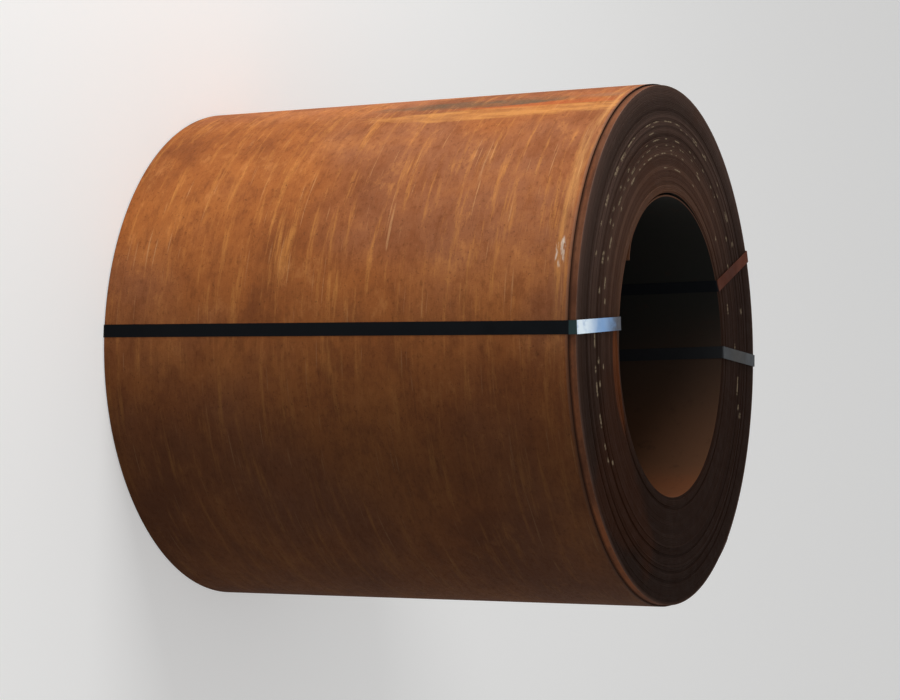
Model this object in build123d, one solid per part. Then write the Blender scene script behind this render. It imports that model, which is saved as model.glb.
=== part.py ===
from build123d import *
import os
from math import cos, radians, sin, sqrt

# Coil of hot-rolled steel strip, standing on its back end, in millimetres.
# The bore's centre is the origin, and the bore runs along Z. The front end faces +Z.
# Angles are seen from the front end, 0 along +X and 90 along +Y.

# Strip and winding
BORE_RADIUS = 381.0
STRIP_GAUGE = 4.0
STRIP_WIDTH = 1250.0
FLUSH_WRAPS = 68
LAST_WRAP_SETBACK = 19.0
HEAD_END_ANGLE = 148.0
HEAD_RAMP_SWEEP = 27.0
TAIL_END_ANGLE = -62.0
SETBACK_START_ANGLE = -50.0

# How far groups of wraps slid along the axis as they were wound, towards the back.
# Each pair is the group's first wrap, counted from the bore, and its shift.
LATERAL_SHIFTS = (
    (0, 3.0),
    (2, 0.0),
    (6, 4.0),
    (8, 0.5),
    (31, -1.5),
    (32, 0.0),
    (36, 4.0),
    (38, 0.5),
    (43, -1.5),
    (44, 0.5),
    (46, 4.5),
    (48, 0.0),
    (52, 4.0),
    (54, 0.0),
)

# Steel straps drawn tight through the bore
STRAP_ANGLES = {"strap_left": 177.0, "strap_upper_right": 25.0, "strap_right": -3.0}
STRAP_WIDTH = 32.0
STRAP_GAUGE = 0.9
STRAP_BEND_RADIUS = 0.5
STRAP_BORE_BEVEL = 3.3
STRAP_EDGE_CLEARANCE = 0.6

# Crimped seal that joins a strap's ends, on the strap's back leg
SEAL_LENGTH = 46.0
SEAL_GAUGE = 1.0
SEAL_PLACE = 0.72
SEAL_NOTCH_SPACING = 22.0
SEAL_NOTCH_LENGTH = 5.0

# Worked out from the dimensions above
FLUSH_RADIUS = BORE_RADIUS + FLUSH_WRAPS * STRIP_GAUGE
OUTER_RADIUS = FLUSH_RADIUS + STRIP_GAUGE
HALF_WIDTH = STRIP_WIDTH / 2
FOREMOST_SHIFT = min(shift for _, shift in LATERAL_SHIFTS)
ROUGH_LENGTH = STRIP_WIDTH + 4 * LAST_WRAP_SETBACK


def polar(radius, angle):
    """Point of the end view, at a radius and an angle in degrees."""
    return Vector(radius * cos(radians(angle)), radius * sin(radians(angle)))


def clockwise(angle):
    """Unit direction of clockwise travel round the coil at an angle."""
    return Vector(sin(radians(angle)), -cos(radians(angle)))


def outer_face(radius, step_angle):
    """Outline of one wrap, a circle from the head end clockwise to a step at an angle.

    Past the step the wrap below shows, and one tangent arc leads back out to the
    circle at the head end.
    """
    head = polar(radius, HEAD_END_ANGLE)
    step = polar(radius, step_angle)
    below_step = polar(radius - STRIP_GAUGE, step_angle)
    middle = polar(radius, (HEAD_END_ANGLE + step_angle) / 2)
    round_part = ThreePointArc(head, middle, step)
    step_line = Line(step, below_step)
    rise = TangentArc(head, below_step, tangent=-clockwise(HEAD_END_ANGLE))
    return make_face([round_part, step_line, rise])


def bore_face():
    """Outline of the bore, round up to the ramp that climbs onto the strip's head end."""
    ramp_angle = HEAD_END_ANGLE + HEAD_RAMP_SWEEP
    head = polar(BORE_RADIUS, HEAD_END_ANGLE)
    above_head = polar(BORE_RADIUS + STRIP_GAUGE, HEAD_END_ANGLE)
    ramp_start = polar(BORE_RADIUS, ramp_angle)
    middle = polar(BORE_RADIUS, (HEAD_END_ANGLE + ramp_angle) / 2 - 180)
    round_part = ThreePointArc(head, middle, ramp_start)
    ramp = TangentArc(ramp_start, above_head, tangent=clockwise(ramp_angle))
    head_step = Line(above_head, head)
    return make_face([round_part, ramp, head_step])


def turned_ends():
    """Solid of revolution with both ends of the flush wraps as stepped rings.

    The strip has one width, so a group that is sunk in front stands out at the back.
    """
    starts = [BORE_RADIUS + wrap * STRIP_GAUGE for wrap, _ in LATERAL_SHIFTS]
    ends = starts[1:] + [OUTER_RADIUS + STRIP_GAUGE]
    starts[0] = BORE_RADIUS - STRIP_GAUGE
    front = []
    back = []
    for start, end, (_, shift) in zip(starts, ends, LATERAL_SHIFTS):
        front += [(start, 0, HALF_WIDTH - shift), (end, 0, HALF_WIDTH - shift)]
        back += [(start, 0, -HALF_WIDTH - shift), (end, 0, -HALF_WIDTH - shift)]
    profile = make_face(Polyline(*front, *reversed(back), close=True))
    return revolve(profile, Axis.Z)


def end_view(face, length):
    """Extrudes a face drawn in the end view, by the same length to both sides."""
    return extrude(face, length / 2, both=True)


def coil_body():
    """The wound strip as one solid, with the last wrap slid towards the back.

    The last wrap leaves the flush ones a little before it passes under its own tail.
    """
    flush = outer_face(FLUSH_RADIUS, SETBACK_START_ANGLE)
    wound = end_view(flush - bore_face(), ROUGH_LENGTH) & turned_ends()
    last_wrap = end_view(outer_face(OUTER_RADIUS, TAIL_END_ANGLE) - flush, STRIP_WIDTH)
    return wound + Pos(0, 0, -LAST_WRAP_SETBACK) * last_wrap


def outer_seat(angle):
    """Distance from the axis to the flat that touches the outermost wrap at an angle."""
    past_head = (angle - HEAD_END_ANGLE) % 360
    rise_sweep = (TAIL_END_ANGLE - HEAD_END_ANGLE) % 360
    if past_head > rise_sweep:
        return OUTER_RADIUS
    low = OUTER_RADIUS - STRIP_GAUGE
    spread = 2 * (OUTER_RADIUS - low * cos(radians(rise_sweep)))
    centre_offset = STRIP_GAUGE * (OUTER_RADIUS + low) / spread
    return OUTER_RADIUS - centre_offset * (1 - cos(radians(past_head)))


def radial_plane(angle):
    """Plane through the axis, with x outward at the angle and y along the bore."""
    outward = Vector(cos(radians(angle)), sin(radians(angle)), 0)
    return Plane(origin=(0, 0, 0), x_dir=outward, z_dir=outward.cross(Vector(0, 0, 1)))


def strap_corners(angle):
    """Inner corners of a tight strap, as distance from the axis and place along it.

    They go from the bore's front edge over the front end, down to the last wrap's
    edge, along the outside, and back across the hollow of the back end.
    """
    bore_seat = sqrt(BORE_RADIUS**2 - (STRAP_WIDTH / 2) ** 2)
    seat = outer_seat(angle)
    front = HALF_WIDTH - FOREMOST_SHIFT
    back = -HALF_WIDTH - STRAP_BEND_RADIUS
    return [
        (bore_seat, front - STRAP_BORE_BEVEL),
        (bore_seat + STRAP_BORE_BEVEL, front),
        (seat - STRIP_GAUGE + STRAP_EDGE_CLEARANCE, front),
        (seat, HALF_WIDTH - LAST_WRAP_SETBACK + STRAP_BEND_RADIUS),
        (seat, back - LAST_WRAP_SETBACK),
        (bore_seat, back - LATERAL_SHIFTS[0][1]),
    ]


def strap(angle):
    """Closed loop of flat strap through the bore and round the outside."""
    corners = make_face(Polyline(*strap_corners(angle), close=True))
    inside = fillet(corners.vertices(), STRAP_BEND_RADIUS)
    band = offset(inside, STRAP_GAUGE) - inside
    return extrude(radial_plane(angle) * band, STRAP_WIDTH / 2, both=True)


def seal_notch():
    """Diamond-shaped tool that bites a notch out of a seal's edge, down to the strap."""
    half = SEAL_NOTCH_LENGTH / 2
    diamond = make_face(Polyline((-half, 0), (0, half), (half, 0), (0, -half), close=True))
    return extrude(diamond, SEAL_LENGTH, both=True)


def seal(angle):
    """Sleeve crimped round the strap's back leg, with notches in both edges."""
    plane = radial_plane(angle)
    bore_end = plane.from_local_coords(strap_corners(angle)[5])
    outer_end = plane.from_local_coords(strap_corners(angle)[4])
    along = (outer_end - bore_end).normalized()
    outward = along.cross(plane.z_dir)
    centre = bore_end + (outer_end - bore_end) * SEAL_PLACE + outward * (STRAP_GAUGE / 2)
    seat = Plane(origin=centre, x_dir=along, z_dir=outward)
    width = STRAP_WIDTH + 2 * SEAL_GAUGE
    sleeve = Box(SEAL_LENGTH, width, STRAP_GAUGE + 2 * SEAL_GAUGE)
    sleeve = chamfer(sleeve.edges().filter_by(Axis.X), SEAL_GAUGE / 2)
    sleeve -= Box(SEAL_LENGTH, STRAP_WIDTH, STRAP_GAUGE)
    for side in (-1, 1):
        for place in (-SEAL_NOTCH_SPACING / 2, SEAL_NOTCH_SPACING / 2):
            sleeve -= Pos(place, side * width / 2, 0) * seal_notch()
    return seat * sleeve


def write(node, shape):
    """Writes one node's STEP file."""
    export_step(shape, os.path.join("parts", node + ".step"))


os.makedirs("parts", exist_ok=True)
write("coil_body", coil_body())
for name, strap_angle in STRAP_ANGLES.items():
    write(name, strap(strap_angle))
    write(name.replace("strap", "seal"), seal(strap_angle))
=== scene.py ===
import random
from math import cos, pi, radians, sin
from typing import NamedTuple

import bpy
from mathutils import Matrix, Vector


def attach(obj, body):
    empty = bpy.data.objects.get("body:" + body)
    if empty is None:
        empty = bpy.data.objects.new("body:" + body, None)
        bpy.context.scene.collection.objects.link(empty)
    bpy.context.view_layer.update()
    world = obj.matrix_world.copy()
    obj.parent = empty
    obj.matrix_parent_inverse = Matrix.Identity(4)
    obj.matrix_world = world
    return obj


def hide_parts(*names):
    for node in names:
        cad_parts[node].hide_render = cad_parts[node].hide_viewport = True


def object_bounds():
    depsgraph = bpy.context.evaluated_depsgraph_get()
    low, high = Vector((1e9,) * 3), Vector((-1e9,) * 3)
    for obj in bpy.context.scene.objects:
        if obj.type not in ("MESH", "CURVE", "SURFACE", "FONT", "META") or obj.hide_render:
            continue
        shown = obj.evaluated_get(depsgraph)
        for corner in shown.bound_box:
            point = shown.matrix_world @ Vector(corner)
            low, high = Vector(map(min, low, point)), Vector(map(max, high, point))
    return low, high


# Steel coil that stands on its back end, in metres, in the frame of the CAD model.
# The bore runs along Z and the front end faces +Z. Clock angles are in degrees, seen from
# the front end, 0 along +X and 90 along +Y. A turn counts the strip from its head end in
# the bore, clockwise, so turn 3.5 is halfway round the fourth wrap.

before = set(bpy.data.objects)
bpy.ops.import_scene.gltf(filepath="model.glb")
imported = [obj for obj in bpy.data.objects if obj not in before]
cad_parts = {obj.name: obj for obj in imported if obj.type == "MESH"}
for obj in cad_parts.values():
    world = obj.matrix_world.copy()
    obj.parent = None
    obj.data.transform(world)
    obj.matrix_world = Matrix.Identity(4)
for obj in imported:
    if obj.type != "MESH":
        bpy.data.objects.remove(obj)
cad_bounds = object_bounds()

# Strip and winding
GAUGE = 0.004
HALF_WIDTH = 0.625
BORE_RADIUS = 0.381
FLUSH_WRAPS = 68
FLUSH_RADIUS = BORE_RADIUS + FLUSH_WRAPS * GAUGE
HEAD_CLOCK = 148
TAIL_CLOCK = -62
BORE_RISE_TURNS = 27 / 360

# Groups of wraps that slid along the axis as they were wound: first wrap and shift back
GROUP_SHIFTS = (
    (0, 0.0025), (2, 0.0), (6, 0.0025), (8, 0.0005), (18, 0.001), (24, 0.0), (31, -0.001),
    (32, 0.0), (36, 0.0028), (38, 0.0005), (43, -0.001), (44, 0.0005), (46, 0.003), (48, 0.0),
    (52, 0.0026), (54, 0.0), (61, 0.0008),
)

# Edges of the wraps, whose waves are given as cycles a turn and phase
GROOVE_DEPTH = 0.0009
EDGE_ROUNDING = 0.0006
UNEVENNESS = 0.0007
EDGE_WAVES = ((0.37, 1.3), (1.86, 0.0), (2.13, 0.0))

# The first wrap, with its head end bent into the bore, sprung off the second one
FIRST_WRAP_END_CLOCK = 177
FIRST_WRAP_ROWS = 8
LIP_REACH = 0.018
LIP_TURNS = 0.03
SPRING_GAP = 0.007
SPRING_CLOCKS = (124, 44)

# The last wrap, which drifts back as it leaves the flush ones
SETBACK = 0.019
SETBACK_CLOCK = -50
SETBACK_TURNS = 0.09
STEP_HEIGHT = HALF_WIDTH - SETBACK
LAST_WRAP_ROWS = 20
LAST_WRAP_GAP = 0.0011
LAST_WRAP_WAVE = 0.0004
LAST_WRAP_CYCLES = 5.3

# Mesh columns a turn
COLUMNS = 180
FINE_COLUMNS = 360


def turns_to(clock):
    """Part of a turn from the head end clockwise to a clock angle."""
    return (HEAD_CLOCK - clock) % 360 / 360


def rise(turn):
    """Share of a gauge by which the strip has climbed onto the wrap below it. The climb starts
    late in the first turn, and earlier in each one up to the last, where the tail ends."""
    wrap = int(turn)
    part = turn - wrap
    at_bore = 1 - BORE_RISE_TURNS
    start = at_bore + (turns_to(TAIL_CLOCK) - at_bore) * wrap / FLUSH_WRAPS
    if part <= start:
        return 0.0
    return 1 - (1 - cos(2 * pi * (1 - part))) / (1 - cos(2 * pi * (1 - start)))


def inner_radius(turn):
    """Radius of the strip's bore side."""
    return BORE_RADIUS + GAUGE * (int(turn) + rise(turn))


def on_circle(radius, clock, height=0.0):
    """Point at a radius, a clock angle and a height."""
    angle = radians(clock)
    return Vector((radius * cos(angle), radius * sin(angle), height))


def at_turn(turn, radius, height):
    """Point at a turn, a radius and a height."""
    return on_circle(radius, HEAD_CLOCK - 360 * turn, height)


def smooth(value):
    """Eases a value between 0 and 1."""
    value = min(max(value, 0.0), 1.0)
    return value * value * (3 - 2 * value)


def group_shift(wrap):
    """How far back a wrap's group slid."""
    return [shift for first, shift in GROUP_SHIFTS if first <= wrap][-1]


def shift_at(turn):
    """Shift of the strip along the axis, eased between groups over the turn's last quarter."""
    wrap = int(turn)
    here = group_shift(wrap)
    there = group_shift(min(wrap + 1, FLUSH_WRAPS - 1))
    return here + (there - here) * smooth((turn - wrap) * 4 - 3)


def level_at(levels, turn):
    """Level of a wrap, eased into the next wrap's over the turn's last third."""
    wrap = int(turn)
    part = smooth((turn - wrap) * 3 - 2)
    return levels[wrap] * (1 - part) + levels[wrap + 1] * part


def unevenness(turn, level):
    """How far a wrap's edge lies below its group's, from its level between 0 and 1."""
    wave = sum(sin(turn * 2 * pi * cycles + phase) for cycles, phase in EDGE_WAVES)
    return UNEVENNESS * (0.35 + wave / 9 + level)


# How far a noise moves the outline of a soft spot, in squares of its half measure
FRAYING = 4.5


class Shader:
    """Material made of linked nodes, whose helpers return output sockets."""

    def __init__(self, name):
        self.material = bpy.data.materials.new(name)
        self.material.use_nodes = True
        self.tree = self.material.node_tree
        self.surface = self.tree.nodes["Principled BSDF"]
        self.place = self.node("ShaderNodeTexCoord").outputs["Object"]
        self.x, self.y, self.height = self.node("ShaderNodeSeparateXYZ", {0: self.place}).outputs
        flat = self.node("ShaderNodeCombineXYZ", {0: self.x, 1: self.y}).outputs[0]
        length = self.node("ShaderNodeVectorMath", {0: flat}, operation="LENGTH")
        self.radius = length.outputs["Value"]

    def node(self, kind, inputs=(), **settings):
        """Adds a node, sets its properties, and links or sets its inputs."""
        node = self.tree.nodes.new(kind)
        for key, value in settings.items():
            setattr(node, key, value)
        for key, value in dict(inputs).items():
            self.put(node.inputs[key], value)
        return node

    def put(self, socket, value):
        """Links an output to a socket, or sets the socket's constant."""
        if isinstance(value, bpy.types.NodeSocket):
            self.tree.links.new(value, socket)
        else:
            socket.default_value = value

    def math(self, operation, first, second):
        """Result of a math node."""
        return self.node("ShaderNodeMath", {0: first, 1: second}, operation=operation).outputs[0]

    def times(self, first, second):
        """Product of two values."""
        return self.math("MULTIPLY", first, second)

    def plus(self, first, second):
        """Sum of two values."""
        return self.math("ADD", first, second)

    def dot(self, direction):
        """How far the surface point lies from the axis in a direction."""
        inputs = {0: self.place, 1: direction}
        return self.node("ShaderNodeVectorMath", inputs, operation="DOT_PRODUCT").outputs["Value"]

    def span(self, value, low, high, start=0.0, end=1.0):
        """Maps a value smoothly from one range to another."""
        inputs = {"Value": value, "From Min": low, "From Max": high, "To Min": start, "To Max": end}
        node = self.node("ShaderNodeMapRange", inputs, interpolation_type="SMOOTHSTEP")
        return node.outputs["Result"]

    def mix(self, share, first, second):
        """Colour mixed from two."""
        node = self.node("ShaderNodeMix", {0: share, 6: first, 7: second}, data_type="RGBA")
        return node.outputs[2]

    def stain(self, color, source, start, full, most, tint):
        """Colour covered by a tint, up to a share, as a source goes from one value to another."""
        return self.mix(self.span(source, start, full, 0.0, most), color, srgb(*tint))

    def stains(self, color, layers):
        """Colour covered by layers: source, start value, full value, share and tint."""
        for source, start, full, most, tint in layers:
            color = self.stain(color, source, start, full, most, tint)
        return color

    def noise(self, scale, detail, stretch=(1, 1, 1), roughness=0.55, move=0.0):
        """Noise over the object's own coordinates, finer along an axis that is stretched more."""
        inputs = {"Vector": self.place, "Scale": stretch, "Location": (move, move * 0.7, move * 0.3)}
        mapped = self.node("ShaderNodeMapping", inputs).outputs[0]
        inputs = {"Vector": mapped, "Scale": scale, "Detail": detail, "Roughness": roughness}
        return self.node("ShaderNodeTexNoise", inputs).outputs["Fac"]

    def rings(self, scale, detail):
        """Noise that changes with the radius alone."""
        inputs = {"W": self.radius, "Scale": scale, "Detail": detail}
        return self.node("ShaderNodeTexNoise", inputs, noise_dimensions="1D").outputs["Fac"]

    def bump(self, relief, distance):
        """Normal bumped by a relief."""
        return self.node("ShaderNodeBump", {"Height": relief, "Distance": distance}).outputs[0]

    def spot(self, clock, half_along, across, middle, half_across, fray=None):
        """Soft oval mark at a clock angle, long round the coil. Its other measure is taken
        in the radius or the height, from a middle value. A noise can fray its outline."""
        along = self.math("DIVIDE", self.dot(on_circle(1, clock + 90)), half_along)
        beside = self.math("DIVIDE", self.math("SUBTRACT", across, middle), half_across)
        distance = self.plus(self.times(along, along), self.times(beside, beside))
        if fray is not None:
            distance = self.plus(distance, self.times(self.math("SUBTRACT", fray, 0.5), FRAYING))
        on_this_side = self.math("GREATER_THAN", self.dot(on_circle(1, clock)), 0.0)
        return self.times(self.span(distance, 1.3, 0.5), on_this_side)

    def finish(self, color, roughness, metallic, normal=None, specular=0.07):
        """Joins the results to the surface."""
        self.put(self.surface.inputs["Base Color"], color)
        self.put(self.surface.inputs["Roughness"], roughness)
        self.put(self.surface.inputs["Metallic"], metallic)
        self.put(self.surface.inputs["Specular IOR Level"], specular)
        if normal is not None:
            self.put(self.surface.inputs["Normal"], normal)
        return self.material


def srgb(red, green, blue):
    """Linear colour of a screen colour."""
    parts = [value / 255 for value in (red, green, blue)]
    linear = [v / 12.92 if v <= 0.04045 else ((v + 0.055) / 1.055) ** 2.4 for v in parts]
    return (*linear, 1.0)


# Rusty patches on the front end: clock, half length round the coil, middle radius, half
# width, colour and strength
FACE_RUST = (
    (192, 0.15, 0.412, 0.016, (120, 66, 36), 0.7),
    (222, 0.26, 0.520, 0.130, (64, 36, 22), 0.5),
)

# Scraped bands along the coil near 11 o'clock: clock, half width round the coil, middle
# height, half length, colour and strength
SCRAPES = (
    (120.3, 0.034, 0.36, 0.46, (208, 144, 78), 0.68),
    (116.6, 0.018, 0.42, 0.30, (180, 88, 44), 0.55),
    (113.6, 0.034, 0.21, 0.27, (92, 80, 62), 0.85),
    (112.8, 0.016, 0.53, 0.06, (138, 104, 82), 0.60),
)

# White scuff beside the last wrap's edge: clock, half length, height and half width
SCUFF_CLOCK = 163
SCUFF_HALF_LENGTH = 0.038
SCUFF_HEIGHT = STEP_HEIGHT - 0.030
SCUFF_HALF_WIDTH = 0.014


def end_material():
    """Brown ends of the wraps, in rings of slightly different tone, with cream flecks. Painted shade darkens
    them towards the lower right, the bottom and on the last wrap's edge, and painted highlights lighten the
    bore's rim at the upper left and the outer edge.
    """
    shader = Shader("strip_edges")
    radius = shader.radius
    patch = shader.noise(3.2, 5.0)
    dirt = shader.noise(38.0, 6.0, roughness=0.7)
    outward = shader.span(radius, 0.40, 0.60)
    dark = shader.mix(outward, srgb(79, 54, 43), srgb(70, 54, 47))
    light = shader.mix(outward, srgb(101, 73, 59), srgb(87, 68, 60))
    narrow = shader.times(shader.rings(95.0, 2.0), 0.45)
    broad = shader.times(shader.rings(24.0, 1.0), 0.75)
    color = shader.mix(shader.span(shader.plus(narrow, broad), 0.48, 0.74), dark, light)
    # Painted shade: the last two layers darken the front end towards the lower right and towards the bottom.
    shaded_low_right = shader.math("SUBTRACT", shader.x, shader.times(shader.y, 1.4))
    layers = (
        (patch, 0.50, 0.72, 0.35, (84, 52, 34)),
        (dirt, 0.62, 0.80, 0.50, (36, 27, 23)),
        (shaded_low_right, -0.40, 0.35, 0.75, (36, 24, 20)),
        (shader.y, 0.35, -0.20, 0.70, (34, 20, 13)),
    )
    color = shader.stains(color, layers)
    # Painted highlight on the bore's rim at the upper left.
    lit_upper_left = shader.times(shader.span(shader.x, 0.25, -0.1), shader.span(shader.y, -0.1, 0.1))
    bore_rim_highlight = shader.span(radius, BORE_RADIUS + 0.021, BORE_RADIUS + 0.005, 0.0, 0.7)
    color = shader.mix(shader.times(bore_rim_highlight, lit_upper_left), color, srgb(112, 78, 60))
    # Painted highlight: a paler band along the front end's outer edge.
    color = shader.stain(color, radius, FLUSH_RADIUS - 0.013, FLUSH_RADIUS - 0.001, 0.45, (112, 84, 72))
    # Painted shade: the last wrap's front edge is darkened to stand for its shadow.
    color = shader.stain(color, radius, FLUSH_RADIUS, FLUSH_RADIUS + 0.0006, 0.90, (46, 29, 23))
    for clock, half_length, middle, half_width, tint, strength in FACE_RUST:
        mark = shader.spot(clock, half_length, radius, middle, half_width, patch)
        color = shader.mix(shader.times(mark, strength), color, srgb(*tint))
    fleck = shader.node("ShaderNodeAttribute", attribute_name="fleck").outputs["Fac"]
    chips = shader.span(shader.noise(125.0, 1.0), 0.38, 0.50, 0.1, 0.62)
    color = shader.mix(shader.times(shader.span(fleck, 0.45, 0.85), chips), color, srgb(184, 164, 134))
    normal = shader.bump(shader.noise(420.0, 3.0), 0.0005)
    return shader.finish(color, shader.span(dirt, 0.3, 0.8, 0.65, 0.85), 0.0, normal, specular=0.015)


def scraped(shader, color):
    """Colour of the outside with its scraped bands and its scuff."""
    fray = shader.noise(13.0, 8.0, stretch=(1, 1, 0.3), roughness=0.72, move=6.0)
    gaps = shader.noise(30.0, 6.0, stretch=(1, 1, 0.25), roughness=0.7, move=7.0)
    worn = shader.span(gaps, 0.6, 0.4, 0.35, 1.0)
    for clock, half_width, middle, half_length, tint, strength in SCRAPES:
        mark = shader.spot(clock, half_width, shader.height, middle, half_length, fray)
        color = shader.mix(shader.times(shader.times(mark, worn), strength), color, srgb(*tint))
    scuff = shader.spot(SCUFF_CLOCK, SCUFF_HALF_LENGTH, shader.height, SCUFF_HEIGHT, SCUFF_HALF_WIDTH)
    streaks = shader.span(shader.noise(60.0, 4.0, stretch=(0.5, 0.5, 4), move=2.0), 0.50, 0.62)
    return shader.mix(shader.times(scuff, streaks), color, srgb(214, 196, 180))


def edge_worn(shader, color, stroke, mottle):
    """Colour of the outside with a combed band near the last wrap's front edge, then a painted highlight
    and, at the edge itself, painted shade."""
    height = shader.height
    above = shader.span(height, STEP_HEIGHT - 0.051, STEP_HEIGHT - 0.028)
    below = shader.span(height, STEP_HEIGHT - 0.008, STEP_HEIGHT - 0.018)
    combed = shader.times(shader.times(above, below), shader.span(stroke, 0.40, 0.62, 0.0, 0.42))
    combed = shader.times(combed, shader.span(shader.y, 0.10, 0.45, 0.25, 1.0))
    color = shader.mix(combed, color, srgb(206, 154, 96))
    # Painted highlight: a pale strip just below the last wrap's front edge.
    edge_highlight = shader.span(height, STEP_HEIGHT - 0.0095, STEP_HEIGHT - 0.007)
    edge_highlight = shader.times(edge_highlight, shader.span(mottle, 0.35, 0.60, 0.3, 0.7))
    color = shader.mix(edge_highlight, color, srgb(142, 102, 80))
    # Painted shade: the outside darkens over the last few millimetres below the front edge.
    return shader.stain(color, height, STEP_HEIGHT - 0.007, STEP_HEIGHT - 0.0005, 0.75, (58, 35, 25))


def outside_material():
    """Orange rust with paler strokes round the coil, scrapes, and painted shade darkening the underside."""
    shader = Shader("strip_outside")
    warm = shader.noise(1.7, 3.0, move=5.0)
    cloud = shader.noise(2.2, 6.0, roughness=0.6)
    mottle = shader.noise(10.0, 9.0, stretch=(1, 1, 1.7), roughness=0.74, move=1.0)
    stroke = shader.noise(6.0, 8.0, stretch=(0.7, 0.7, 9), roughness=0.7, move=3.0)
    scratch = shader.noise(20.0, 2.0, stretch=(0.3, 0.3, 9), roughness=0.5, move=8.0)
    fine = shader.noise(60.0, 8.0, stretch=(1, 1, 2), roughness=0.75)
    pits = shader.noise(150.0, 4.0, roughness=0.6, move=4.0)
    layers = (
        (shader.y, 0.57, 0.645, 0.60, (168, 103, 74)),
        (cloud, 0.50, 0.34, 0.50, (196, 122, 62)),
        (cloud, 0.48, 0.66, 0.70, (118, 66, 38)),
        (mottle, 0.46, 0.64, 0.60, (132, 74, 40)),
        (mottle, 0.46, 0.32, 0.40, (206, 136, 78)),
        (stroke, 0.50, 0.72, 0.60, (212, 142, 74)),
        (stroke, 0.44, 0.30, 0.35, (116, 66, 38)),
        (scratch, 0.66, 0.74, 0.45, (206, 154, 106)),
        (fine, 0.50, 0.76, 0.60, (86, 47, 28)),
        (pits, 0.62, 0.72, 0.50, (58, 34, 24)),
    )
    color = shader.mix(shader.span(warm, 0.36, 0.58), srgb(152, 95, 62), srgb(166, 98, 50))
    color = shader.stains(color, layers)
    color = scraped(shader, color)
    color = edge_worn(shader, color, stroke, mottle)
    # Painted shade: the outside darkens towards -Y, the underside.
    color = shader.stain(color, shader.y, 0.34, -0.34, 0.80, (50, 31, 21))
    relief = shader.plus(shader.noise(240.0, 4.0, roughness=0.7), fine)
    return shader.finish(color, shader.span(fine, 0.3, 0.8, 0.6, 0.85), 0.0, shader.bump(relief, 0.0007))


def rim_material():
    """Pinkish brown side of the flush wraps, bared by the last wrap, with painted shadow of that wrap's edge
    along its foot and a painted highlight along its top corner.
    """
    shader = Shader("strip_rim")
    cloud = shader.noise(7.0, 6.0, roughness=0.6)
    rust = shader.noise(5.0, 6.0, stretch=(1, 1, 6), roughness=0.65, move=2.0)
    fine = shader.noise(60.0, 6.0, stretch=(1, 1, 3), roughness=0.7)
    color = shader.mix(shader.span(cloud, 0.35, 0.65), srgb(84, 51, 35), srgb(112, 71, 49))
    color = shader.stain(color, rust, 0.44, 0.66, 0.55, (138, 80, 47))
    color = shader.stain(color, fine, 0.50, 0.75, 0.60, (60, 37, 27))
    # Painted shadow: the last wrap's edge casts a dark band along the foot.
    foot = STEP_HEIGHT + 0.0005
    color = shader.stain(color, shader.height, foot + 0.006, foot, 0.65, (50, 30, 21))
    # Painted highlight along the top corner of the flush wraps.
    corner = shader.span(shader.height, HALF_WIDTH - 0.0045, HALF_WIDTH - 0.0015)
    corner = shader.times(corner, shader.span(fine, 0.40, 0.62, 0.1, 0.6))
    color = shader.mix(corner, color, srgb(142, 110, 94))
    return shader.finish(color, 0.75, 0.0, shader.bump(fine, 0.0006))


def bore_material():
    """Blue-black scale in the bore, made darker with painted shade, with brown dust low down."""
    shader = Shader("strip_bore")
    cloud = shader.noise(3.5, 6.0, stretch=(1, 1, 0.3), roughness=0.6)
    fine = shader.noise(30.0, 6.0, roughness=0.7)
    # The clean scale is partly the steel's own dark colour and partly painted shade deep in the bore.
    clean = shader.mix(cloud, srgb(26, 29, 28), srgb(40, 37, 33))
    dusty = shader.mix(cloud, srgb(74, 50, 36), srgb(104, 68, 44))
    dust = shader.plus(shader.y, shader.times(cloud, 0.3))
    color = shader.mix(shader.span(dust, 0.30, -0.25), clean, dusty)
    heap = shader.plus(shader.y, shader.times(cloud, 0.2))
    color = shader.stain(color, heap, -0.16, -0.28, 0.40, (128, 70, 38))
    color = shader.stain(color, fine, 0.55, 0.75, 0.50, (48, 33, 26))
    return shader.finish(color, 0.75, 0.0, shader.bump(fine, 0.0006))


# Order of the strip's materials on its pieces
EDGE, OUTSIDE, BORE, RIM = range(4)
STRIP_MATERIALS = (end_material(), outside_material(), bore_material(), rim_material())

# Largest angle between faces that still shade as one surface
SMOOTH_ANGLE = radians(32)


def add_mesh(name, points, faces, slots, materials):
    """Smooth-shaded closed mesh that rides on the root body."""
    mesh = bpy.data.meshes.new(name)
    mesh.from_pydata(points, [], faces)
    mesh.polygons.foreach_set("material_index", slots)
    mesh.polygons.foreach_set("use_smooth", [True] * len(faces))
    for material in materials:
        mesh.materials.append(material)
    mesh.set_sharp_from_angle(angle=SMOOTH_ANGLE)
    mesh.update()
    piece = bpy.data.objects.new(name, mesh)
    bpy.context.scene.collection.objects.link(piece)
    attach(piece, "root")
    return piece


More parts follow.
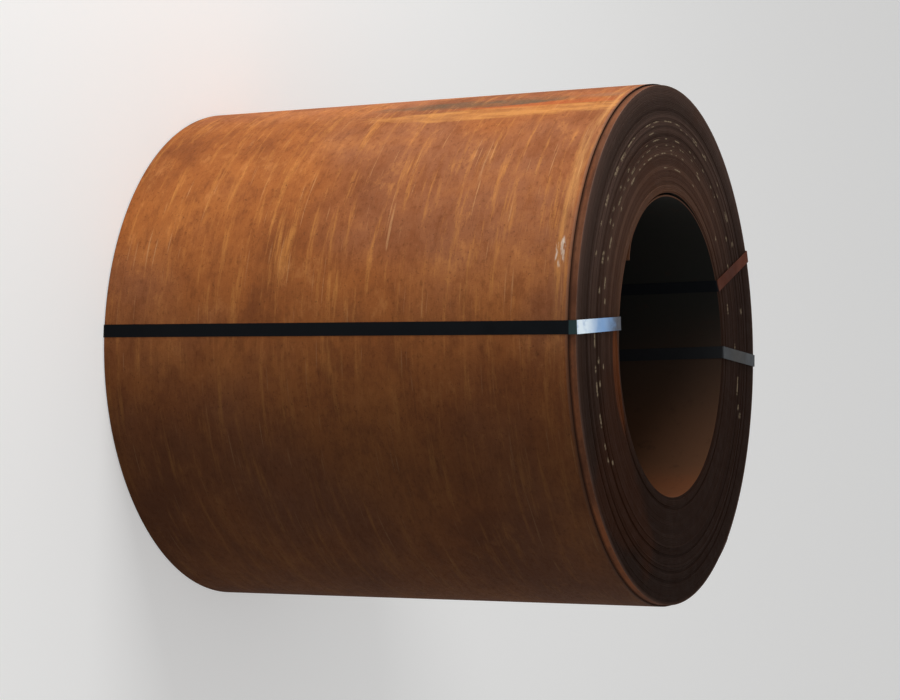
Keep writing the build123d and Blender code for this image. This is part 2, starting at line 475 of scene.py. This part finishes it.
# Cream flecks on the front end, by wrap: clock angle and length in mesh columns
FLECKS = {
    45: ((52, 1), (65, 1), (73, 2), (88, 2), (95, 3), (102, 2), (109, 1), (121, 3), (129, 2), (136, 2),
         (145, 2), (153, 1), (159, 1)),
    43: ((41, 2), (65, 2), (73, 2), (81, 1), (84, 1)),
    39: ((180, 1), (182, 1), (187, 1), (191, 1), (194, 1), (201, 2), (207, 1), (212, 1)),
    34: ((35, 1), (57, 1), (63, 1), (71, 1), (75, 1), (87, 2), (97, 1), (102, 2), (106, 1), (112, 1),
         (128, 1), (136, 1), (143, 1), (147, 1), (158, 1), (161, 1), (167, 1), (186, 1), (193, 1), (214, 1)),
    30: ((74, 1), (82, 2), (90, 1), (97, 1), (105, 1), (110, 2), (116, 1), (121, 1), (125, 2), (130, 1),
         (134, 1), (138, 1), (141, 1), (148, 1)),
    27: ((151, 1), (154, 1), (158, 1), (163, 1), (166, 1), (189, 1)),
    25: ((82, 1), (88, 1), (93, 1), (98, 2), (106, 1), (110, 2), (117, 1), (121, 1), (126, 2), (129, 1),
         (140, 1), (170, 1)),
    16: ((87, 3), (96, 2)),
}

# Short flecks strewn at random over the same wraps
SPARE_FLECKS = 30
SPARE_CLOCKS = (-20, 110)

# Between these clock angles flecks are one wrap wide, and elsewhere two
NARROW_FLECKS = (50, 125)


def fleck_marks():
    """Pairs of a wrap and a mesh column that a fleck covers."""
    flecks = [(wrap, *fleck) for wrap, ring in FLECKS.items() for fleck in ring]
    dice = random.Random(12)
    for _ in range(SPARE_FLECKS):
        flecks.append((dice.choice(list(FLECKS)), dice.uniform(*SPARE_CLOCKS), 1))
    marks = set()
    for wrap, clock, columns in flecks:
        width = 1 if NARROW_FLECKS[0] < clock < NARROW_FLECKS[1] else 2
        first = round(turns_to(clock) * COLUMNS - (columns - 1) / 2)
        marks.update((wrap - inward, first + step) for inward in range(width) for step in range(columns))
    return marks


def edge_points(turn, side, levels):
    """Points across one edge of the strip: the groove, and the flat top's two sides."""
    inner = inner_radius(turn)
    top = side * (HALF_WIDTH - unevenness(turn, level_at(levels, turn))) - shift_at(turn)
    return [
        at_turn(turn, inner, top - side * GROOVE_DEPTH),
        at_turn(turn, inner + EDGE_ROUNDING, top),
        at_turn(turn, inner + GAUGE - EDGE_ROUNDING, top),
    ]


def flush_wraps():
    """All wraps but the first and the last, as one spiral with a groove between turns."""
    first = round(turns_to(FIRST_WRAP_END_CLOCK) * COLUMNS)
    last = (FLUSH_WRAPS - 1) * COLUMNS + round(turns_to(SETBACK_CLOCK) * COLUMNS)
    count = last - first + 1
    turns = [(first + column) / COLUMNS for column in range(count)]
    dice = random.Random(4)
    levels = [dice.random() for _ in range(FLUSH_WRAPS + 2)]
    points = [point for side in (1, -1) for turn in turns for point in edge_points(turn, side, levels)]
    side_size = 3 * count
    rim_start = len(points)
    for side in (0, 1):
        for column in range(count - COLUMNS, count):
            groove = points[3 * column + side * side_size]
            points.append(at_turn(turns[column], inner_radius(turns[column]) + GAUGE, groove.z))

    def corner(column, side, step):
        """Index of a point across an edge, the last of which is the next turn's groove."""
        if step < 3:
            return 3 * column + step + side * side_size
        if column + COLUMNS < count:
            return 3 * (column + COLUMNS) + side * side_size
        return rim_start + side * COLUMNS + column + COLUMNS - count

    faces, slots = spiral_faces(count, corner)
    piece = add_mesh("flush_wraps", points, faces, slots, STRIP_MATERIALS)
    mark_flecks(piece, first, count)
    return piece


def spiral_faces(count, corner):
    """Faces and materials of the spiral: its two ends, bore side, outer side and cut ends.
    The corner function gives a point's index from its column, side and step."""
    faces = []
    slots = []

    def add(quad, slot, flip=False):
        corners = tuple(corner(*place) for place in quad)
        faces.append(corners[::-1] if flip else corners)
        slots.append(slot)

    for here in range(count - 1):
        there = here + 1
        for side in (0, 1):
            for step in range(3):
                near, far = (side, step), (side, step + 1)
                add(((here, *near), (here, *far), (there, *far), (there, *near)), EDGE, flip=side == 0)
        if here < COLUMNS:
            add(((here, 0, 0), (here, 1, 0), (there, 1, 0), (there, 0, 0)), BORE)
        if here >= count - 1 - COLUMNS:
            add(((here, 0, 3), (there, 0, 3), (there, 1, 3), (here, 1, 3)), RIM)
    for end in (0, count - 1):
        for step in range(3):
            quad = ((end, 0, step), (end, 0, step + 1), (end, 1, step + 1), (end, 1, step))
            add(quad, OUTSIDE, flip=end > 0)
    return faces, slots


def mark_flecks(piece, first, count):
    """Marks both sides of the flecked wraps' tops on the front end, for the material. The
    front end's points come first, three to a column."""
    flecked = fleck_marks()
    marks = [0.0] * len(piece.data.vertices)
    for column in range(count):
        if divmod(first + column, COLUMNS) in flecked:
            marks[3 * column + 1] = marks[3 * column + 2] = 1.0
    attribute = piece.data.attributes.new("fleck", "FLOAT", "POINT")
    attribute.data.foreach_set("value", marks)


def sheet(name, start, end, section, slots):
    """Closed piece of strip from one turn to another, whose section is a ring of points."""
    count = round((end - start) * FINE_COLUMNS) + 1
    points = []
    for column in range(count):
        turn = start + (end - start) * column / (count - 1)
        points += [at_turn(turn, radius, height) for radius, height in section(turn)]
    size = len(slots)
    faces = []
    for column in range(count - 1):
        here, there = column * size, (column + 1) * size
        for step in range(size):
            after = (step + 1) % size
            faces.append((here + step, there + step, there + after, here + after))
    faces += [tuple(range(size)), tuple(reversed(range((count - 1) * size, count * size)))]
    return add_mesh(name, points, faces, slots * (count - 1) + [EDGE, EDGE], STRIP_MATERIALS)


def rounded_section(inner, outer, top, under, rows):
    """Ring of points of a strip's section, its edges rounded, its long sides in rows."""
    soft = EDGE_ROUNDING
    high, low = top - soft, under + soft
    levels = [high + (low - high) * row / rows for row in range(rows + 1)]
    down = [(outer - soft, top)] + [(outer, level) for level in levels] + [(outer - soft, under)]
    up = [(inner + soft, under)] + [(inner, level) for level in reversed(levels)] + [(inner + soft, top)]
    return down + up


def section_slots(rows, outer):
    """Materials of a section's sides."""
    return [EDGE] + [outer] * rows + [EDGE] * 3 + [BORE] * rows + [EDGE] * 2


def first_wrap_section(turn):
    """Section of the first wrap, bent into the bore at its head end and sprung off the next."""
    inner = inner_radius(turn) - LIP_REACH * max(0.0, 1 - turn / LIP_TURNS) ** 2
    start, end = (turns_to(clock) for clock in SPRING_CLOCKS)
    if start < turn < end:
        inner -= SPRING_GAP * sin(pi * (turn - start) / (end - start)) ** 1.3
    half = HALF_WIDTH - unevenness(turn, 0.4)
    shift = shift_at(turn)
    return rounded_section(inner, inner + GAUGE, half - shift, -half - shift, FIRST_WRAP_ROWS)


def last_wrap_section(turn):
    """Section of the last wrap, which drifts back as it starts."""
    start = FLUSH_WRAPS - 1 + turns_to(SETBACK_CLOCK)
    drift = SETBACK * smooth((turn - start) / SETBACK_TURNS)
    half = HALF_WIDTH - LAST_WRAP_WAVE * (1 + sin(turn * 2 * pi * LAST_WRAP_CYCLES))
    inner = inner_radius(turn)
    return rounded_section(inner + LAST_WRAP_GAP, inner + GAUGE, half - drift, -half - drift, LAST_WRAP_ROWS)


def first_wrap():
    """The innermost wrap, which ends where the spiral of the flush wraps begins."""
    end = turns_to(FIRST_WRAP_END_CLOCK)
    return sheet("first_wrap", 0, end, first_wrap_section, section_slots(FIRST_WRAP_ROWS, RIM))


def last_wrap():
    """The outermost wrap, which ends at the strip's tail."""
    start = FLUSH_WRAPS - 1 + turns_to(SETBACK_CLOCK)
    end = FLUSH_WRAPS + turns_to(TAIL_CLOCK)
    return sheet("last_wrap", start, end, last_wrap_section, section_slots(LAST_WRAP_ROWS, OUTSIDE))


for piece in (first_wrap(), flush_wraps(), last_wrap()):
    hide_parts("coil_body")

# Straps, pressed slightly into the last wrap's rust
STRAP_WIDTH = 0.032
STRAP_GAUGE = 0.0009
STRAP_BEVEL = 0.0033
STRAP_SINK = 0.0003
STRAP_EDGE_CLEARANCE = 0.0006
STRAP_BEND = 0.0005
STRAP_FRONT = HALF_WIDTH + 0.0015
STRAP_BACK = -HALF_WIDTH - 0.0004
BACK_OF_FIRST_WRAPS = 0.003
BORE_SEAT = (BORE_RADIUS**2 - (STRAP_WIDTH / 2) ** 2) ** 0.5

# Radius that parts a strap's outer half from its half in the bore
STRAP_MIDDLE = 0.5

# Each strap's clock angles in the bore, on the outside, and at the back end. Across the
# front end they are slightly askew, and at the back end they run as in the CAD model.
STRAP_CLOCKS = {
    "left": (174.3, 178.6, 177),
    "upper_right": (26.8, 24.4, 25),
    "right": (-0.4, -1.5, -3),
}


class StrapLook(NamedTuple):
    """A strap's colours, from the outside over the front end into the bore, partly painted reflection and
    shade, and its surface.
    """
    name: str
    outside: tuple
    slope: tuple
    face: tuple
    middle: tuple
    bore_end: tuple
    bore: tuple
    metallic: float
    roughness: float
    specular: float


# Each strap's bore colour is painted shade, dark where the strap runs inside the bore.
STRAP_LOOKS = {
    # The zinc strap's colours are painted light: the white-blue face, its blue middle and the teal slope are
    # painted reflection, while the dark navy outside leg and the dark bore end are painted shade.
    "left": StrapLook(
        name="zinc_strap",
        outside=(12, 15, 19),
        slope=(42, 60, 62),
        face=(232, 246, 255),
        middle=(116, 158, 206),
        bore_end=(12, 20, 42),
        bore=(20, 23, 27),
        metallic=0.6,
        roughness=0.3,
        specular=0.2,
    ),
    "upper_right": StrapLook(
        name="rusted_strap",
        outside=(72, 42, 31),
        slope=(78, 45, 32),
        face=(100, 53, 37),
        middle=(80, 43, 31),
        bore_end=(90, 48, 33),
        bore=(18, 20, 23),
        metallic=0.0,
        roughness=0.7,
        specular=0.07,
    ),
    "right": StrapLook(
        name="grey_strap",
        outside=(60, 60, 60),
        slope=(60, 61, 62),
        face=(74, 77, 80),
        middle=(64, 63, 62),
        bore_end=(62, 65, 68),
        bore=(24, 25, 27),
        metallic=0.0,
        roughness=0.6,
        specular=0.15,
    ),
}


def strap_material(look):
    """Flat steel strap, whose colour differs on the front end, outside and in the bore, partly as painted
    reflection and shade.
    """
    shader = Shader(look.name)
    radius = shader.radius
    height = shader.height
    cloud = shader.noise(24.0, 5.0, roughness=0.6)
    fine = shader.noise(120.0, 5.0, roughness=0.7)
    color = shader.mix(shader.span(radius, 0.62, STRAP_MIDDLE), srgb(*look.face), srgb(*look.middle))
    layers = (
        (radius, STRAP_MIDDLE, 0.40, 1.0, look.bore_end),
        (cloud, 0.48, 0.70, 0.5, look.middle),
        (fine, 0.62, 0.85, 0.6, look.middle),
    )
    color = shader.stains(color, layers)
    outer_half = shader.math("GREATER_THAN", radius, STRAP_MIDDLE)
    slope = shader.span(height, STRAP_FRONT - 0.0003, STRAP_FRONT - 0.0007)
    color = shader.mix(shader.times(slope, outer_half), color, srgb(*look.slope))
    leg = shader.span(height, STEP_HEIGHT + 0.0015, STEP_HEIGHT + 0.0005)
    color = shader.mix(shader.times(leg, outer_half), color, srgb(*look.outside))
    # Painted shade: the strap inside the bore takes its dark bore colour.
    color = shader.stain(color, radius, BORE_RADIUS + 0.0025, BORE_RADIUS + 0.0005, 1.0, look.bore)
    roughness = shader.span(cloud, 0.2, 0.8, look.roughness, look.roughness + 0.2)
    return shader.finish(color, roughness, look.metallic, shader.bump(fine, 0.0002), look.specular)


def outer_seat(clock):
    """Radius of the last wrap's outside at a clock angle."""
    part = turns_to(clock)
    wrap = FLUSH_WRAPS if part <= turns_to(TAIL_CLOCK) else FLUSH_WRAPS - 1
    return inner_radius(wrap + part) + GAUGE


def strap_corners(reach):
    """Inner corners of a strap's loop, as distance outward from the bore and height."""
    corners = (
        (0, STRAP_FRONT - STRAP_BEVEL),
        (STRAP_BEVEL, STRAP_FRONT),
        (reach - GAUGE + STRAP_EDGE_CLEARANCE, STRAP_FRONT),
        (reach, STEP_HEIGHT + STRAP_BEND),
        (reach, STRAP_BACK - SETBACK),
        (0, STRAP_BACK - BACK_OF_FIRST_WRAPS),
    )
    return [Vector(corner) for corner in corners]


def mitre(corners, index):
    """Direction from an inner corner to the outer one, for a strap of unit gauge."""
    before = (corners[index] - corners[index - 1]).normalized()
    after = (corners[(index + 1) % len(corners)] - corners[index]).normalized()
    normals = [Vector((-way.y, way.x)) for way in (before, after)]
    return (normals[0] + normals[1]) / (1 + normals[0].dot(normals[1]))


def strap_heading(corner, reach, start, end):
    """Direction outward at a corner, radial in the bore and outside, askew between them."""
    if corner.x == 0:
        return start.normalized()
    if corner.x > reach - STRAP_SINK:
        return end.normalized()
    return (end - start).normalized()


def strap(name, clocks, material):
    """Closed loop of flat strap, mitred at its bends."""
    bore_clock, outer_clock, back_clock = clocks
    reach = outer_seat(back_clock) - STRAP_SINK - BORE_SEAT
    corners = strap_corners(reach)
    points = []
    for index, corner in enumerate(corners):
        ends = (bore_clock, outer_clock) if corner.y > 0 else (back_clock, back_clock)
        start = on_circle(BORE_SEAT, ends[0])
        end = on_circle(BORE_SEAT + reach, ends[1])
        outward = strap_heading(corner, reach, start, end)
        across = Vector((-outward.y, outward.x, 0)) * STRAP_WIDTH / 2
        for side in (-1, 1):
            for lift in (0, STRAP_GAUGE):
                place = corner + mitre(corners, index) * lift
                point = start.lerp(end, place.x / reach) + across * side
                points.append((point.x, point.y, place.y))
    faces = []
    ring = (0, 1, 3, 2)
    for index in range(len(corners)):
        here, there = 4 * index, 4 * ((index + 1) % len(corners))
        for this, following in zip(ring, ring[1:] + ring[:1]):
            faces.append((here + this, here + following, there + following, there + this))
    return add_mesh(name + "_drawn", points, faces, [0] * len(faces), [material])


for side, look in STRAP_LOOKS.items():
    material = strap_material(look)
    piece = strap("strap_" + side, STRAP_CLOCKS[side], material)
    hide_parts("strap_" + side)
    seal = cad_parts["seal_" + side]
    seal.data.materials.clear()
    seal.data.materials.append(material)

# Floor, lamps, world and camera
FLOOR_HALF = 300
FLOOR_COLOR = (0.8, 0.8, 0.79, 1)
FLOOR_GLOW = 0.3
WORLD_LIGHT = 0.37
WHITE = (1, 1, 1, 1)

# Each softbox's place, size in metres and power in watts
SOFTBOXES = {
    "key": ((-1.5, 4.8, 0.9), 2.5, 200),
    "fill": ((-4.5, -1.5, 2.5), 3.0, 20),
}

# The photograph's camera, placed in bore radii from the middle of the front end. It stays
# with that end, so its upright is the part's +Y.
FRONT_MIDDLE = Vector((0, 0, HALF_WIDTH))
CAMERA_PLACE = FRONT_MIDDLE + BORE_RADIUS * Vector((-13.9, -0.635, 4.945))
CAMERA_UPRIGHT = Vector((0, 1, 0))
CAMERA_LENS = 89


def add_floor(height):
    """Pale floor that glows a little for the camera alone, so that it keeps its shadow."""
    corners = [(x * FLOOR_HALF, y * FLOOR_HALF, height) for x, y in ((-1, -1), (1, -1), (1, 1), (-1, 1))]
    mesh = bpy.data.meshes.new("floor")
    mesh.from_pydata(corners, [], [(0, 1, 2, 3)])
    shader = Shader("floor")
    seen = shader.node("ShaderNodeLightPath").outputs["Is Camera Ray"]
    shader.put(shader.surface.inputs["Emission Color"], WHITE)
    shader.put(shader.surface.inputs["Emission Strength"], shader.times(seen, FLOOR_GLOW))
    mesh.materials.append(shader.finish(FLOOR_COLOR, 0.9, 0.0))
    floor = bpy.data.objects.new("floor", mesh)
    bpy.context.scene.collection.objects.link(floor)


def add_softbox(name, place, size, power):
    """Square area lamp aimed at the middle of the coil."""
    light = bpy.data.lights.new(name, "AREA")
    light.size = size
    light.energy = power
    lamp = bpy.data.objects.new(name, light)
    lamp.location = place
    lamp.rotation_euler = (-Vector(place)).to_track_quat("-Z", "Y").to_euler()
    bpy.context.scene.collection.objects.link(lamp)


def add_world():
    """White world, full for the camera and in reflections, dimmer as light."""
    world = bpy.data.worlds.new("studio")
    world.use_nodes = True
    tree = world.node_tree
    rays = tree.nodes.new("ShaderNodeLightPath")
    seen = tree.nodes.new("ShaderNodeMath")
    seen.operation = "MAXIMUM"
    tree.links.new(rays.outputs["Is Camera Ray"], seen.inputs[0])
    tree.links.new(rays.outputs["Is Glossy Ray"], seen.inputs[1])
    level = tree.nodes.new("ShaderNodeMapRange")
    level.inputs["To Min"].default_value = WORLD_LIGHT
    tree.links.new(seen.outputs[0], level.inputs["Value"])
    background = tree.nodes["Background"]
    background.inputs["Color"].default_value = WHITE
    tree.links.new(level.outputs["Result"], background.inputs["Strength"])
    bpy.context.scene.world = world


def add_camera():
    """Camera aimed at the middle of the coil from the photograph's viewing angle."""
    data = bpy.data.cameras.new("camera")
    data.lens = CAMERA_LENS
    camera = bpy.data.objects.new("camera", data)
    back = CAMERA_PLACE.normalized()
    right = CAMERA_UPRIGHT.cross(back).normalized()
    turned = Matrix((right, back.cross(right), back)).transposed()
    camera.matrix_world = Matrix.Translation(CAMERA_PLACE) @ turned.to_4x4()
    bpy.context.scene.collection.objects.link(camera)
    bpy.context.scene.camera = camera


add_floor(cad_bounds[0][2])
for name, (place, size, power) in SOFTBOXES.items():
    add_softbox(name, place, size, power)
add_world()
add_camera()
bpy.context.scene.view_settings.view_transform = "Standard"
